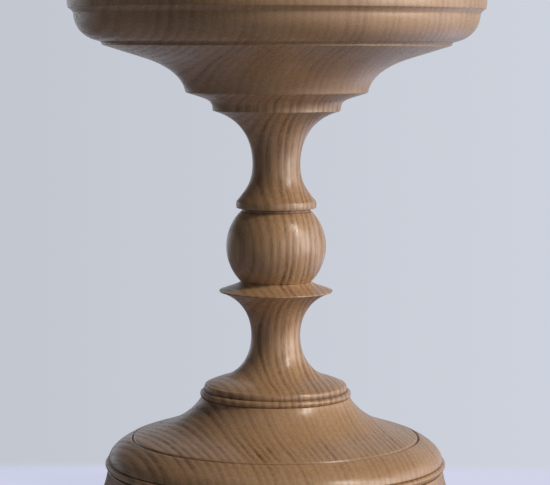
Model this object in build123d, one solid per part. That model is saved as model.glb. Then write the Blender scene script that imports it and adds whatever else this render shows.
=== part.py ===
from build123d import *
from math import cos, pi, sqrt
import os

# Turned pricket candle stand: five ash sections stacked on a steel tie rod, a brass spike that
# clamps them from above, a nut that clamps them from below, a loose brass wax plate and a felt foot.
# Lengths are millimetres, +Z is up and the origin is the centre of the felt's underside.
# A turned piece is traced as (radius, height) points and revolved about Z.

# Whole stand
stand_height = 213.4         # table to the top of the dish rim

# Fits
tenon_clearance = 0.1        # round tenon in its mortise, on the radius
tenon_end_gap = 0.5          # tenon end to mortise floor
rod_clearance = 0.3          # rod in the bored wood, on the radius
washer_clearance = 0.2       # rod in a washer, on the radius
thread_clearance = 0.05      # rod in the nut and in the spike, on the radius
plate_clearance = 0.3        # spike boss in the wax plate, on the radius
edge_quirk = 0.4             # small sinking that sets one moulding off from the next

# Tie rod, washers and nut
rod_radius = 3.0
rod_nut_overhang = 1.6       # rod end below the nut
rod_end_recess = 4.0         # rod end above the base's underside
foot_washer_width = 5.8
foot_washer_thickness = 1.6
spring_washer_width = 2.7
spring_washer_thickness = 1.6
spring_washer_slit = 0.9
spring_washer_slit_angle = 20
nut_wall = 1.95              # thread to flat
nut_height = 5.2
hexagon_chamfer_share = 0.5  # part of the stretch from flat to corner that the chamfer takes
counterbore_margin = 2.0     # spanner room round the foot washer

# Felt foot
felt_thickness = 2.0
felt_border = 5.5            # wood left bare outside the felt
felt_hole_margin = 1.0       # felt hole beyond the counterbore

# Base: plinth, bead, rounded shoulder, groove, dome and cove
base_bead_radius = 70.2
base_bead_height = 3.1
base_bead_projection = 1.15
plinth_projection = 0.2      # plinth's upper edge beyond the bead's seat
plinth_height = 16.4
foot_projection = 3.0        # foot beyond the bead
foot_round = 1.8
foot_band_height = 1.7
shoulder_height = 9.2
shoulder_run = 9.35
groove_width = 1.4
groove_depth = 1.2
dome_step = 0.5              # dome's edge above the shoulder's
dome_height = 4.4
base_cove_height = 12.35
base_cove_share = 0.565      # part of the stretch from top to groove that the cove takes
base_top_projection = 1.15   # base top beyond the stem's foot band

# Lower stem: foot bead, band, swept shoulder, waist and saucer lip
foot_band_radius = 29.45
foot_band_height_above_bead = 1.3
foot_bead_height = 2.65
foot_bead_projection = 1.7
foot_arris_height = 1.5
foot_arris_run = 1.2
sweep_height = 2.7
sweep_run = 7.3
lower_waist_radius = 10.1
lip_radius = 23.3
lip_edge_height = 0.75
lip_edge_round = 0.45
lip_dome_height = 3.6
base_tenon_share = 0.5       # part of the foot band's radius
base_tenon_length = 15.0

# Ball knop
ball_radius = 20.45
ball_flat_share = 0.708      # part of the ball's radius
ball_tenon_shoulder = 4.9    # step from the stem's sunk neck to its tenon
ball_tenon_share = 0.3       # part of the ball's height that each tenon takes

# Upper stem: sunk neck, collar, waist, trumpet and capital
collar_sinking = 0.3         # sunk neck inside the ball's flat
collar_neck_height = 1.35
collar_projection = 2.3      # collar beyond the sunk neck
collar_height = 2.8
collar_crown = 0.2
upper_waist_radius = 9.78
trumpet_radius = 25.55
capital_fillet = 0.6
capital_height = 6.85
capital_radius = 37.3
capital_arris = 0.65
dish_tenon_share = 0.4       # part of the capital's radius
dish_tenon_depth_share = 0.56  # part of the wood between the joint and the spike's recess

# Drip dish: cove, cone, ovolo, rim band and bowl
dish_cove_height = 13.9
dish_cove_share = 0.512      # part of the stretch from capital to cone edge that the cove takes
cone_height = 5.1
cone_step = 0.6
cone_step_height = 1.35
ovolo_height = 11.4
ovolo_run = 10.75
rim_radius = 85.0
rim_overhang = 2.5
rim_fillet_height = 2.05
rim_fillet_share = 0.58      # hollow of the fillet under the rim, 0.5 would be straight
rim_band_height = 5.25
rim_crown = 0.35
rim_top_rise = 1.1
rim_top_width = 4.2
bowl_depth = 12.0
bowl_wall_run = 27.0         # rim's outside to the edge of the flat floor

# Spike and its seat
seat_washer_border = 1.5     # washer beyond the corners of the spike's foot
seat_washer_thickness = 1.6
seat_recess_margin = 2.0
spike_foot_across_flats = 13.0
spike_foot_height = 5.2
spike_foot_sinking = 0.2     # hexagon foot below the dish floor
spike_bore_cap = 1.4         # solid brass between thread and boss top
spike_bore_end_gap = 0.5
spike_boss_wall = 1.45       # boss beyond thread and shank
spike_boss_projection = 1.5  # boss above the wax plate
spike_shoulder_height = 1.5
spike_shank_radius = 3.0
spike_shank_length = 18.0
spike_point_length = 20.0
spike_tip_radius = 0.35

# Wax plate
plate_border = 12.0          # bare dish floor outside the plate
plate_thickness = 1.0
plate_wall_run = 5.0
plate_wall_height = 3.2
plate_bead_radius = 0.9

# Parts of the stems' height that the lower cove, lip cove, flare and trumpet take
stem_shares = (0.239, 0.251, 0.211, 0.299)

# Handles of the free curves, as shares of each curve's run and rise in tracing order
plinth_shares = ((0.45, 0.25), (0.85, 0.62))
shoulder_shares = ((0.03, 0.43), (0.47, 0.73))
dome_shares = ((0.31, 0.33), (0.68, 0.65))
base_cove_shares = ((0.43, 0.19), (0.84, 0.57))
sweep_shares = ((0.16, 0.30), (0.61, 0.68))
lower_cove_shares = ((0.43, 0.09), (1.0, 0.39))
lip_cove_shares = ((0.0, 0.46), (0.32, 0.84))
lip_dome_shares = ((0.32, 0.32), (0.80, 0.56))
flare_shares = ((0.61, 0.31), (1.0, 0.53))
trumpet_shares = ((0.0, 0.46), (0.30, 0.86))
capital_shares = ((0.02, 0.59), (0.15, 0.60))
dish_cove_shares = ((0.05, 0.41), (0.39, 0.77))
ovolo_shares = ((0.71, 0.12), (0.98, 0.57))
bowl_shares = ((0.14, 0.66), (0.47, 1.0))
plate_outside_shares = ((0.55, 0.0), (0.85, 0.35))
plate_inside_shares = ((0.15, 0.65), (0.45, 1.0))

# Radii that follow from the sizes above
bore_radius = rod_radius + rod_clearance
washer_hole = rod_radius + washer_clearance
thread_bore_radius = rod_radius + thread_clearance
foot_washer_radius = washer_hole + foot_washer_width
spring_washer_radius = washer_hole + spring_washer_width
nut_across_flats = 2 * (thread_bore_radius + nut_wall)
counterbore_radius = foot_washer_radius + counterbore_margin
base_bead_seat = base_bead_radius - base_bead_projection
foot_radius = base_bead_radius + foot_projection
base_top_radius = foot_band_radius + base_top_projection
groove_outer_radius = base_bead_seat - shoulder_run
groove_inner_radius = groove_outer_radius - groove_width
dome_inner_radius = base_top_radius + (groove_inner_radius - base_top_radius) * base_cove_share
base_tenon_radius = foot_band_radius * base_tenon_share
ball_flat_radius = ball_radius * ball_flat_share
collar_neck_radius = ball_flat_radius - collar_sinking
collar_radius = collar_neck_radius + collar_projection
ball_tenon_radius = collar_neck_radius - ball_tenon_shoulder
dish_tenon_radius = capital_radius * dish_tenon_share
ovolo_top_radius = rim_radius - rim_overhang
ovolo_foot_radius = ovolo_top_radius - ovolo_run
cone_outer_radius = ovolo_foot_radius - cone_step
cone_inner_radius = capital_radius + (cone_outer_radius - capital_radius) * dish_cove_share
bowl_floor_radius = rim_radius - bowl_wall_run
spike_foot_corner = spike_foot_across_flats / 2 / cos(pi / 6)
seat_washer_radius = spike_foot_corner + seat_washer_border
seat_recess_radius = seat_washer_radius + seat_recess_margin
spike_boss_radius = max(thread_bore_radius, spike_shank_radius) + spike_boss_wall
plate_hole_radius = spike_boss_radius + plate_clearance
plate_radius = bowl_floor_radius - plate_border

# Heights of the mouldings, and of the stems, which take what the mouldings leave of the stand
ball_cap = sqrt(ball_radius**2 - ball_flat_radius**2)
base_stack = plinth_height + base_bead_height + edge_quirk + shoulder_height + dome_height + base_cove_height
foot_stack = foot_bead_height + foot_band_height_above_bead + foot_arris_height + sweep_height
lip_stack = lip_edge_height + lip_dome_height
ball_stack = 2 * ball_cap
collar_stack = collar_neck_height + collar_height
capital_stack = capital_fillet + capital_height + edge_quirk
dish_stack = dish_cove_height + cone_height + cone_step_height + ovolo_height
rim_stack = rim_fillet_height + rim_band_height + rim_top_rise
stem_mouldings = foot_stack + lip_stack + ball_stack + collar_stack + capital_stack
stem_height = stand_height - felt_thickness - base_stack - stem_mouldings - dish_stack - rim_stack
lower_cove_height, lip_cove_height, flare_height, trumpet_height = [stem_height * n for n in stem_shares]

# Heights of the nut end, from the table up
base_bottom = felt_thickness
rod_bottom = base_bottom + rod_end_recess
nut_bottom = rod_bottom + rod_nut_overhang
spring_washer_bottom = nut_bottom + nut_height
foot_washer_bottom = spring_washer_bottom + spring_washer_thickness
counterbore_top = foot_washer_bottom + foot_washer_thickness

# Heights of the turned stack, from the table up
plinth_top = base_bottom + plinth_height
base_bead_top = plinth_top + base_bead_height
shoulder_bottom = base_bead_top + edge_quirk
groove_z = shoulder_bottom + shoulder_height
dome_top = groove_z + dome_height
base_top = dome_top + base_cove_height
foot_bead_top = base_top + foot_bead_height
foot_band_top = foot_bead_top + foot_band_height_above_bead
foot_arris_top = foot_band_top + foot_arris_height
sweep_top = foot_arris_top + sweep_height
lower_waist_z = sweep_top + lower_cove_height
lip_bottom = lower_waist_z + lip_cove_height
lip_edge_top = lip_bottom + lip_edge_height
lip_top = lip_edge_top + lip_dome_height
ball_centre = lip_top + ball_cap
ball_top = ball_centre + ball_cap
ball_tenon_length = (ball_top - lip_top) * ball_tenon_share
collar_bottom = ball_top + collar_neck_height
collar_top = collar_bottom + collar_height
upper_waist_z = collar_top + flare_height
trumpet_top = upper_waist_z + trumpet_height
capital_bottom = trumpet_top + capital_fillet
capital_top = capital_bottom + capital_height
dish_bottom = capital_top + edge_quirk
dish_cove_top = dish_bottom + dish_cove_height
cone_top = dish_cove_top + cone_height
ovolo_bottom = cone_top + cone_step_height
ovolo_top = ovolo_bottom + ovolo_height
rim_bottom = ovolo_top + rim_fillet_height
rim_shoulder = rim_bottom + rim_band_height
rim_top = rim_shoulder + rim_top_rise
bowl_floor = rim_top - bowl_depth

# Heights of the spike, its seat and the plate
spike_foot_top = bowl_floor - spike_foot_sinking
spike_bottom = spike_foot_top - spike_foot_height
seat_recess_floor = spike_bottom - seat_washer_thickness
dish_tenon_length = (seat_recess_floor - dish_bottom) * dish_tenon_depth_share
plate_top = bowl_floor + plate_thickness
boss_top = plate_top + spike_boss_projection
spike_bore_top = boss_top - spike_bore_cap
rod_top = spike_bore_top - spike_bore_end_gap
shank_bottom = boss_top + spike_shoulder_height
shank_top = shank_bottom + spike_shank_length
spike_top = shank_top + spike_point_length

# Middle of a quarter round, as a share of its run
quarter_share = cos(pi / 4)


class Outline:
    """Half section of a turned piece, traced edge by edge."""

    def __init__(self, radius, height):
        self.start = (radius, height)
        self.here = self.start
        self.edges = []

    def line(self, radius, height):
        self.edges.append(Line(self.here, (radius, height)))
        self.here = (radius, height)

    def arc(self, middle, end):
        self.edges.append(ThreePointArc(self.here, middle, end))
        self.here = end

    def curve(self, end, handle_shares):
        run = end[0] - self.here[0]
        rise = end[1] - self.here[1]
        first, second = [(self.here[0] + run * a, self.here[1] + rise * b) for a, b in handle_shares]
        self.edges.append(Bezier(self.here, first, second, end))
        self.here = end

    def turned(self):
        self.line(*self.start)
        return revolve(Plane.XZ * make_face(self.edges), Axis.Z)


def flat_ring(inner, outer, bottom, top):
    ring = Outline(inner, bottom)
    ring.line(outer, bottom)
    ring.line(outer, top)
    ring.line(inner, top)
    return ring.turned()


def round_bar(radius, bottom, top):
    return Pos(0, 0, bottom) * extrude(Circle(radius), top - bottom)


def hexagon_bar(across_flats, bottom, top):
    """Hexagon with turned chamfers on the corners of both ends."""
    flat_radius = across_flats / 2
    corner_radius = flat_radius / cos(pi / 6)
    end_radius = flat_radius + (corner_radius - flat_radius) * hexagon_chamfer_share
    slope = corner_radius - end_radius
    blank = Outline(0, bottom)
    blank.line(end_radius, bottom)
    blank.line(corner_radius, bottom + slope)
    blank.line(corner_radius, top - slope)
    blank.line(end_radius, top)
    blank.line(0, top)
    prism = extrude(Pos(0, 0, bottom) * RegularPolygon(flat_radius, 6, major_radius=False), top - bottom)
    return prism & blank.turned()


def felt_ring():
    return flat_ring(counterbore_radius + felt_hole_margin, foot_radius - felt_border, 0, felt_thickness)


def turned_base():
    mortise = base_tenon_radius + tenon_clearance
    mortise_floor = base_top - base_tenon_length - tenon_end_gap
    foot_edge = base_bottom + foot_round
    round_inset = foot_round * (1 - quarter_share)
    bead_middle = (plinth_top + base_bead_top) / 2
    quirk_middle = (base_bead_top + shoulder_bottom) / 2
    dome_edge = groove_z + dome_step
    groove_middle = (groove_inner_radius + groove_outer_radius) / 2
    base = Outline(counterbore_radius, base_bottom)
    base.line(foot_radius - foot_round, base_bottom)
    base.arc((foot_radius - round_inset, base_bottom + round_inset), (foot_radius, foot_edge))
    base.line(foot_radius, foot_edge + foot_band_height)
    base.curve((base_bead_seat + plinth_projection, plinth_top - edge_quirk), plinth_shares)
    base.line(base_bead_seat - 2 * edge_quirk, plinth_top)
    base.arc((base_bead_radius, bead_middle), (base_bead_seat, base_bead_top))
    base.line(base_bead_seat - edge_quirk, quirk_middle)
    base.line(base_bead_seat, shoulder_bottom)
    base.curve((groove_outer_radius, groove_z), shoulder_shares)
    base.line(groove_middle, dome_edge - groove_depth)
    base.line(groove_inner_radius, dome_edge)
    base.curve((dome_inner_radius, dome_top), dome_shares)
    base.curve((base_top_radius, base_top), base_cove_shares)
    base.line(mortise, base_top)
    base.line(mortise, mortise_floor)
    base.line(bore_radius, mortise_floor)
    base.line(bore_radius, counterbore_top)
    base.line(counterbore_radius, counterbore_top)
    return base.turned()


def lower_stem():
    tenon_end = base_top - base_tenon_length
    bead_radius = foot_band_radius + foot_bead_projection
    bead_seat = foot_band_radius + edge_quirk
    bead_middle = (base_top + foot_bead_top) / 2
    arris_radius = foot_band_radius - foot_arris_run * (1 - quarter_share)
    arris_z = foot_band_top + foot_arris_height * quarter_share
    sweep_edge = foot_band_radius - foot_arris_run
    lip_neck = lip_radius - lip_edge_round
    upper_end = lip_top + ball_tenon_length
    stem = Outline(bore_radius, tenon_end)
    stem.line(base_tenon_radius, tenon_end)
    stem.line(base_tenon_radius, base_top)
    stem.line(bead_seat, base_top)
    stem.arc((bead_radius, bead_middle), (bead_seat, foot_bead_top))
    stem.line(foot_band_radius, foot_bead_top)
    stem.line(foot_band_radius, foot_band_top)
    stem.arc((arris_radius, arris_z), (sweep_edge, foot_arris_top))
    stem.curve((sweep_edge - sweep_run, sweep_top), sweep_shares)
    stem.curve((lower_waist_radius, lower_waist_z), lower_cove_shares)
    stem.curve((lip_neck, lip_bottom), lip_cove_shares)
    stem.arc((lip_radius, (lip_bottom + lip_edge_top) / 2), (lip_neck, lip_edge_top))
    stem.curve((ball_flat_radius, lip_top), lip_dome_shares)
    stem.line(ball_tenon_radius, lip_top)
    stem.line(ball_tenon_radius, upper_end)
    stem.line(bore_radius, upper_end)
    return stem.turned()


def ball_knop():
    mortise = ball_tenon_radius + tenon_clearance
    lower_floor = lip_top + ball_tenon_length + tenon_end_gap
    upper_floor = ball_top - ball_tenon_length - tenon_end_gap
    ball = Outline(mortise, lip_top)
    ball.line(ball_flat_radius, lip_top)
    ball.arc((ball_radius, ball_centre), (ball_flat_radius, ball_top))
    ball.line(mortise, ball_top)
    ball.line(mortise, upper_floor)
    ball.line(bore_radius, upper_floor)
    ball.line(bore_radius, lower_floor)
    ball.line(mortise, lower_floor)
    return ball.turned()


def upper_stem():
    tenon_end = ball_top - ball_tenon_length
    collar_edge = collar_radius - collar_crown
    fillet_radius = trumpet_radius + capital_fillet
    upper_end = dish_bottom + dish_tenon_length
    stem = Outline(bore_radius, tenon_end)
    stem.line(ball_tenon_radius, tenon_end)
    stem.line(ball_tenon_radius, ball_top)
    stem.line(collar_neck_radius, ball_top)
    stem.line(collar_neck_radius, collar_bottom)
    stem.line(collar_edge, collar_bottom)
    stem.arc((collar_radius, (collar_bottom + collar_top) / 2), (collar_edge, collar_top))
    stem.curve((upper_waist_radius, upper_waist_z), flare_shares)
    stem.curve((trumpet_radius, trumpet_top), trumpet_shares)
    stem.line(fillet_radius, (trumpet_top + capital_bottom) / 2)
    stem.line(fillet_radius, capital_bottom)
    stem.curve((capital_radius - capital_arris, capital_top), capital_shares)
    stem.line(capital_radius, dish_bottom)
    stem.line(dish_tenon_radius, dish_bottom)
    stem.line(dish_tenon_radius, upper_end)
    stem.line(bore_radius, upper_end)
    return stem.turned()


def drip_dish():
    mortise = dish_tenon_radius + tenon_clearance
    mortise_floor = dish_bottom + dish_tenon_length + tenon_end_gap
    rim_edge = rim_radius - rim_crown
    rim_inner = rim_edge - rim_top_width
    fillet_radius = rim_edge - (rim_edge - ovolo_top_radius) * rim_fillet_share
    fillet_z = ovolo_top + rim_fillet_height * rim_fillet_share
    dish = Outline(mortise, dish_bottom)
    dish.line(capital_radius, dish_bottom)
    dish.curve((cone_inner_radius, dish_cove_top), dish_cove_shares)
    dish.line(cone_outer_radius, cone_top)
    dish.line(cone_outer_radius, (cone_top + ovolo_bottom) / 2)
    dish.line(ovolo_foot_radius, ovolo_bottom)
    dish.curve((ovolo_top_radius, ovolo_top), ovolo_shares)
    dish.arc((fillet_radius, fillet_z), (rim_edge, rim_bottom))
    dish.arc((rim_radius, (rim_bottom + rim_shoulder) / 2), (rim_edge, rim_shoulder))
    dish.arc(((rim_edge + rim_inner) / 2, rim_top), (rim_inner, rim_shoulder))
    dish.curve((bowl_floor_radius, bowl_floor), bowl_shares)
    dish.line(seat_recess_radius, bowl_floor)
    dish.line(seat_recess_radius, seat_recess_floor)
    dish.line(bore_radius, seat_recess_floor)
    dish.line(bore_radius, mortise_floor)
    dish.line(mortise, mortise_floor)
    return dish.turned()


def tie_rod():
    return round_bar(rod_radius, rod_bottom, rod_top)


def foot_washer():
    return flat_ring(washer_hole, foot_washer_radius, foot_washer_bottom, counterbore_top)


def spring_washer():
    ring = flat_ring(washer_hole, spring_washer_radius, spring_washer_bottom, foot_washer_bottom)
    slit_length = spring_washer_radius + spring_washer_slit
    slit_height = spring_washer_thickness + spring_washer_radius
    slit = Box(slit_length, spring_washer_slit, slit_height, align=(Align.MIN, Align.CENTER, Align.CENTER))
    middle = (spring_washer_bottom + foot_washer_bottom) / 2
    return ring - Pos(0, 0, middle) * Rot(spring_washer_slit_angle, 0, 0) * slit


def foot_nut():
    blank = hexagon_bar(nut_across_flats, nut_bottom, spring_washer_bottom)
    return blank - round_bar(thread_bore_radius, nut_bottom, spring_washer_bottom)


def seat_washer():
    return flat_ring(washer_hole, seat_washer_radius, seat_recess_floor, spike_bottom)


def pricket_spike():
    spike = Outline(0, spike_bottom)
    spike.line(spike_boss_radius, spike_bottom)
    spike.line(spike_boss_radius, boss_top)
    spike.line(spike_shank_radius, shank_bottom)
    spike.line(spike_shank_radius, shank_top)
    spike.line(spike_tip_radius, spike_top - spike_tip_radius)
    spike.arc(
        (spike_tip_radius * quarter_share, spike_top - spike_tip_radius * (1 - quarter_share)),
        (0, spike_top),
    )
    foot = hexagon_bar(spike_foot_across_flats, spike_bottom, spike_foot_top)
    return foot + spike.turned() - round_bar(thread_bore_radius, spike_bottom, spike_bore_top)


def wax_plate():
    wall_radius = plate_radius - plate_bead_radius
    wall_foot = wall_radius - plate_wall_run
    wall_top = plate_top + plate_wall_height
    bead_bottom = wall_top - plate_thickness
    bead_middle = bead_bottom + plate_bead_radius
    bead_top = bead_middle + plate_bead_radius
    plate = Outline(plate_hole_radius, bowl_floor)
    plate.line(wall_foot, bowl_floor)
    plate.curve((wall_radius, bead_bottom), plate_outside_shares)
    plate.arc((plate_radius, bead_middle), (wall_radius, bead_top))
    plate.line(wall_radius - plate_thickness, wall_top)
    plate.curve((wall_foot, plate_top), plate_inside_shares)
    plate.line(plate_hole_radius, plate_top)
    return plate.turned()


pieces = (
    felt_ring,
    turned_base,
    lower_stem,
    ball_knop,
    upper_stem,
    drip_dish,
    tie_rod,
    foot_washer,
    spring_washer,
    foot_nut,
    seat_washer,
    pricket_spike,
    wax_plate,
)
os.makedirs("parts", exist_ok=True)
for piece in pieces:
    export_step(piece(), f"parts/{piece.__name__}.step")
print(f"rim at {rim_top:.2f}, spike tip at {spike_top:.2f}, rod from {rod_bottom:.2f} to {rod_top:.2f}")
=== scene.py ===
import bpy
import bmesh
from math import atan2, ceil, cos, pi, radians, sin
from mathutils import Matrix, Vector, geometry, noise


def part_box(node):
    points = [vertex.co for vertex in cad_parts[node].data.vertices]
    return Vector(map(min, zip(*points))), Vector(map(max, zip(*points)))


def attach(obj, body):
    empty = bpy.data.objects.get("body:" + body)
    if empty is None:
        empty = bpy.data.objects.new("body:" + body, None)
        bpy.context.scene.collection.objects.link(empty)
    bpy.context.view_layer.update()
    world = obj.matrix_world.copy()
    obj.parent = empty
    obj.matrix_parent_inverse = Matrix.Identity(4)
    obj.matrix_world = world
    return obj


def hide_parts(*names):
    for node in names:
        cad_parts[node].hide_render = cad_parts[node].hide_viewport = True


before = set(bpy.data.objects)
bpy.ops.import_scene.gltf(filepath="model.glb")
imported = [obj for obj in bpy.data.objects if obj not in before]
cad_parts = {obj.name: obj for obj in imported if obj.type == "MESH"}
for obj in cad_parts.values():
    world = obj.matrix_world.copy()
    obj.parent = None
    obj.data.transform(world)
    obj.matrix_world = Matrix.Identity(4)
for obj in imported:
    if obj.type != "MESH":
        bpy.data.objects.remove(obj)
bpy.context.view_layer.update()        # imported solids, one object per node
mm = 0.001
print("frame loaded with", len(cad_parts), "nodes")


def heightOf(node, end):     # bottom (0) or top (1) of a solid, in mm above the table
    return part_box(node)[end][2] / mm


def linear(hexColour):       # sRGB hex to linear RGBA
    parts = [int(hexColour[i:i + 2], 16) / 255 for i in (1, 3, 5)]
    return [c / 12.92 if c <= 0.04045 else ((c + 0.055) / 1.055) ** 2.4 for c in parts] + [1]


smooth = {"interpolation_type": "SMOOTHSTEP"}
solid = {"noise_dimensions": "4D", "Scale": 1}


def addNode(tree, kind, settings=None, links=None):      # kind as Blender has it after ShaderNode
    node = tree.nodes.new("ShaderNode" + kind)
    for key, value in (settings or {}).items():
        if isinstance(key, int) or key in node.inputs:
            node.inputs[key].default_value = value
        else:
            setattr(node, key, value)
    for key, source in (links or {}).items():
        tree.links.new(source, node.inputs[key])
    return node


def newMaterial(name):
    material = bpy.data.materials.new(name)
    material.use_nodes = True
    tree = material.node_tree
    return material, tree, tree.nodes["Principled BSDF"]


# profiles: (radius, height) in mm, traced bottom, outside, top, bore

meshStep = {"line": 1.3, "curve": 0.65, "arc": 0.5, "fewest": 8}     # mm along a profile, fewest steps on a bend
easing = {"fold": 0.35, "share": 0.4, "segments": 3}     # folds that are eased, and most of an edge that it takes
corners = {                  # folds in radians where rubbing and painted corner shade start, and over which they grow
    "wearFrom": 0.12, "wearOver": 0.3, "cornerShadeFrom": 0.4, "cornerShadeOver": 0.7, "cornerShadeSpread": 0.5,
}


def runLine(here, step):
    end = Vector((step[0], 0, step[1]))
    pieces = max(1, ceil((end - here).length / meshStep["line"]))
    return [here.lerp(end, n / pieces) for n in range(1, pieces + 1)]


def runHidden(here, step):   # inside a joint or bore, one straight edge
    return [Vector((step[0], 0, step[1]))]


def runCurve(here, step):    # handles are shares of the curve's run and rise
    end = Vector((step[0], 0, step[1]))
    first, second = [Vector((here.x + (end.x - here.x) * a, 0, here.z + (end.z - here.z) * b))
                     for a, b in step[2]]
    count = max(meshStep["fewest"], ceil((end - here).length / meshStep["curve"]))
    return geometry.interpolate_bezier(here, first, second, end, count + 1)[1:]


def runArc(here, step):      # circle through a middle point, as one bezier
    middle, end = Vector((step[0][0], 0, step[0][1])), Vector((step[1], 0, step[2]))
    chord, bow = end - here, middle - (here + end) / 2
    bulge = 2 * bow.length / chord.length
    along = chord * (1 - bulge * bulge) / 3
    first, second = here + bow * 4 / 3 + along, end + bow * 4 / 3 - along
    count = max(meshStep["fewest"], ceil(chord.length / meshStep["arc"]))
    return geometry.interpolate_bezier(here, first, second, end, count + 1)[1:]


runs = {"line": runLine, "hidden": runHidden, "curve": runCurve, "arc": runArc}


def traced(start, steps):
    points = [Vector((start[0], 0, start[1]))]
    for kind, *step in steps:
        points += runs[kind](points[-1], step)
    if (points[-1] - points[0]).length < 1e-4:
        points.pop()
    return points


def turned(points, softEdge=0.25, segments=192, closed=True):
    bm = bmesh.new()
    chain = [bm.verts.new(p * mm) for p in points]
    for a, b in zip(chain, chain[1:] + (chain[:1] if closed else [])):
        bm.edges.new((a, b))
    arrises = []
    for before, vert, after in zip(chain[-1:] + chain[:-1], chain, chain[1:] + chain[:1]):
        into, out = vert.co - before.co, after.co - vert.co
        turn = atan2(into.x * out.z - into.z * out.x, into.x * out.x + into.z * out.z)
        if turn > easing["fold"] and len(vert.link_edges) == 2:      # only arrises that stand out are eased
            room = easing["share"] * min(into.length, out.length)
            arrises.append((vert, min(softEdge * mm, room)))
    for vert, ease in arrises:
        bmesh.ops.bevel(bm, geom=[vert], offset=ease, offset_type="OFFSET",
                        segments=easing["segments"], profile=0.5, affect="VERTICES", material=-1)
    bmesh.ops.spin(bm, geom=bm.verts[:] + bm.edges[:], axis=(0, 0, 1), cent=(0, 0, 0), dvec=(0, 0, 0),
                   angle=2 * pi, steps=segments, use_merge=True)
    bmesh.ops.remove_doubles(bm, verts=bm.verts, dist=1e-6)
    bmesh.ops.recalc_face_normals(bm, faces=bm.faces)
    return bm


def milled(bm, acrossFlats, sides=6):    # flats cut on a turned blank, each closed with one face
    for n in range(sides):
        facing = Vector((cos(n * 2 * pi / sides + pi / 2), sin(n * 2 * pi / sides + pi / 2), 0))
        cut = bmesh.ops.bisect_plane(bm, geom=bm.verts[:] + bm.edges[:] + bm.faces[:], dist=1e-7,
                                     plane_co=facing * acrossFlats / 2 * mm, plane_no=facing, clear_outer=True)
        rim = [e for e in cut["geom_cut"] if isinstance(e, bmesh.types.BMEdge)]
        bmesh.ops.edgeloop_fill(bm, edges=rim)
    bmesh.ops.recalc_face_normals(bm, faces=bm.faces)
    return bm


def finished(name, bm, material, node, body="stand", crease=0.6):
    for face in bm.faces:
        face.smooth = True
    wear = bm.verts.layers.float.new("wear")     # arrises that stand out are rubbed in use
    cornerShade = bm.verts.layers.float.new("cornerShade")     # sunk corners get painted shade: a darker colour and less specular
    for edge in bm.edges:
        angle = edge.calc_face_angle_signed() if edge.is_manifold else 0
        edge.smooth = abs(angle) < crease
        for vert in edge.verts:
            vert[wear] = max(vert[wear], min((angle - corners["wearFrom"]) / corners["wearOver"], 1))
            vert[cornerShade] = max(vert[cornerShade], min((-angle - corners["cornerShadeFrom"]) / corners["cornerShadeOver"], 1))
    # the painted corner shade reaches one short edge further
    spread = []
    for vert in bm.verts:
        near = [e.other_vert(vert)[cornerShade] for e in vert.link_edges if e.calc_length() < mm]
        spread.append(max([vert[cornerShade]] + [corners["cornerShadeSpread"] * share for share in near]))
    for vert, share in zip(bm.verts, spread):
        vert[cornerShade] = share
    mesh = bpy.data.meshes.new(name)
    bm.to_mesh(mesh)
    bm.free()
    mesh.materials.append(material)
    piece = bpy.data.objects.new(name, mesh)
    bpy.context.scene.collection.objects.link(piece)
    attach(piece, body)
    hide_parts(node)
    print(name, "has", len(mesh.polygons), "faces")
    return piece


# materials

ash = {
    "ringCurve": 190,        # distance to the pith of the tree
    "wander": (12, 80, 90),  # over these sizes rings crowd together and spread out
    "poreAcross": 0.45, "poreAlong": 4.0,    # real pores are near 0.2 mm, drawn coarser so they show
    "break": (2.2, 14, 18),  # stretches over which a ring's dark line comes and goes
    "dashAcross": 0.9, "dashAlong": 6.0,
    "fibreAcross": 0.8, "fibreAlong": 26,
    "cloud": 38,
    "late": "#B8946F", "early": "#6C4D34", "pore": "#4A3526",
    # the last colour on the next line is painted shade for sunk corners, mixed in by the last share below it
    "warm": "#A6825F", "worn": "#CBA880", "cornerShade": "#3A281C",
    "warmShare": 0.55, "wornShare": 0.3, "cornerShadeShare": 0.55,
    "relief": 0.045, "bump": 2.5,
    "filmIor": 1.48,         # oil film on wood
}
woods = {                    # rings stand upright, turned by an angle about the axis; their width is in mm
    # light scales each copy's brightness: the stem and base copies are painted lighter than the dish, as painted
    # light
    "stem": {"name": "oiledAshUpright", "fibre": "Z", "seed": 2.3, "angle": 24, "ring": 3.0, "crowd": 2.4,
             "dark": 1.1, "light": 1.07, "pores": 0.18, "endGrain": 0.85},
    "base": {"name": "oiledAshBase", "fibre": "Y", "seed": 24, "angle": 23, "ring": 2.8, "crowd": 1.0,
             "dark": 1.25, "light": 1.03, "pores": 0.06, "endGrain": 0.42},
    "dish": {"name": "oiledAshDish", "fibre": "Y", "seed": 190, "angle": 20, "ring": 3.3, "crowd": 1.4,
             "dark": 0.75, "light": 1.0, "pores": 0.07, "endGrain": 0.6},
}


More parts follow.
